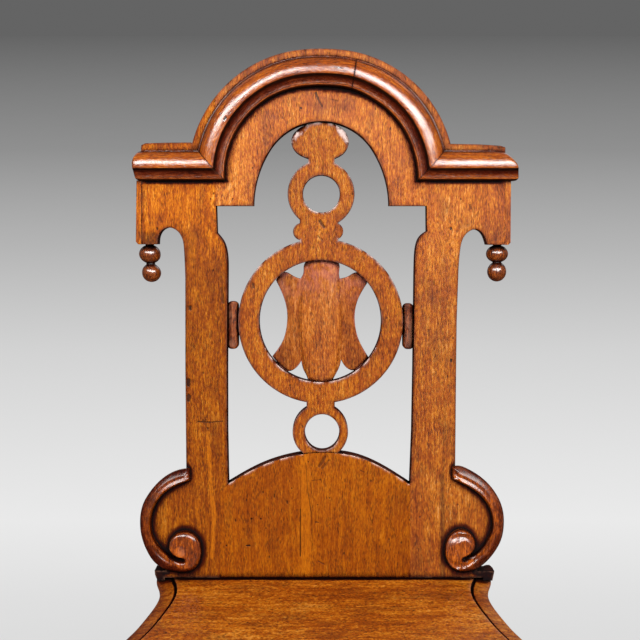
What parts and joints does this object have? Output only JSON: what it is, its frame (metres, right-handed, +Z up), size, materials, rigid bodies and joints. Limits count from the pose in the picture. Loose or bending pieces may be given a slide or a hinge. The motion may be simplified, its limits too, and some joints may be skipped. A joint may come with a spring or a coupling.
{
  "type": "hall chair",
  "caption": "Wooden hall chair with a pierced and arched raked back, applied crest moulding, scrolls and turned drops, a shaped solid seat and square and turned legs.",
  "frame": {"origin": "on the floor, under the middle of the chair's bounding box", "axes": "+Z up, the seat's front towards -Y, +X to the right of someone looking at the chair's front"},
  "size_m": [0.4196, 0.4706, 0.9395],
  "materials": {
    "oak_back": "waxed, satin to glossy",
    "oak_splat": "waxed, satin to glossy",
    "oak_carving": "waxed, dark in the hollows",
    "oak_moulding": "polished wax",
    "oak_pendant": "polished wax, dark",
    "oak_seat": "waxed, satin",
    "oak_rail": "waxed, satin",
    "oak_leg": "waxed, satin to glossy",
    "pine_block": "bare, sawn",
    "oak_peg": "bare end grain",
    "iron": "dull, rusted"
  },
  "bodies": {
    "root": {"cartouche": "oak_carving", "corner_block_front_left": "pine_block", "corner_block_front_right": "pine_block", "corner_block_rear_left": "pine_block", "corner_block_rear_right": "pine_block", "crest_arch": "oak_back", "crest_dowels": "oak_peg", "front_leg_left": "oak_leg", "front_leg_right": "oak_leg", "front_rail": "oak_rail", "left_stave": "oak_back", "lower_panel_left": "oak_back", "lower_panel_right": "oak_back", "lug_dowels": "oak_peg", "lug_left": "oak_carving", "lug_right": "oak_carving", "moulding_arch_left": "oak_moulding", "moulding_arch_right": "oak_moulding", "moulding_left": "oak_moulding", "moulding_pins": "iron", "moulding_return_left": "oak_moulding", "moulding_return_right": "oak_moulding", "moulding_right": "oak_moulding", "panel_dowels": "oak_peg", "pendant_left": "oak_pendant", "pendant_right": "oak_pendant", "rail_pegs": "oak_peg", "rear_leg_left": "oak_leg", "rear_leg_right": "oak_leg", "rear_rail": "oak_rail", "right_stave": "oak_back", "scroll_left": "oak_carving", "scroll_pins": "iron", "scroll_right": "oak_carving", "seat_front_board": "oak_seat", "seat_rear_board": "oak_seat", "seat_screws": "iron", "seat_tongue": "oak_seat", "side_rail_left": "oak_rail", "side_rail_right": "oak_rail", "side_slip_left": "oak_back", "side_slip_right": "oak_back", "slip_nails": "iron", "splat": "oak_splat", "splat_dowels": "oak_peg", "tenon_wedges": "oak_peg"}
  },
  "joints": []
}
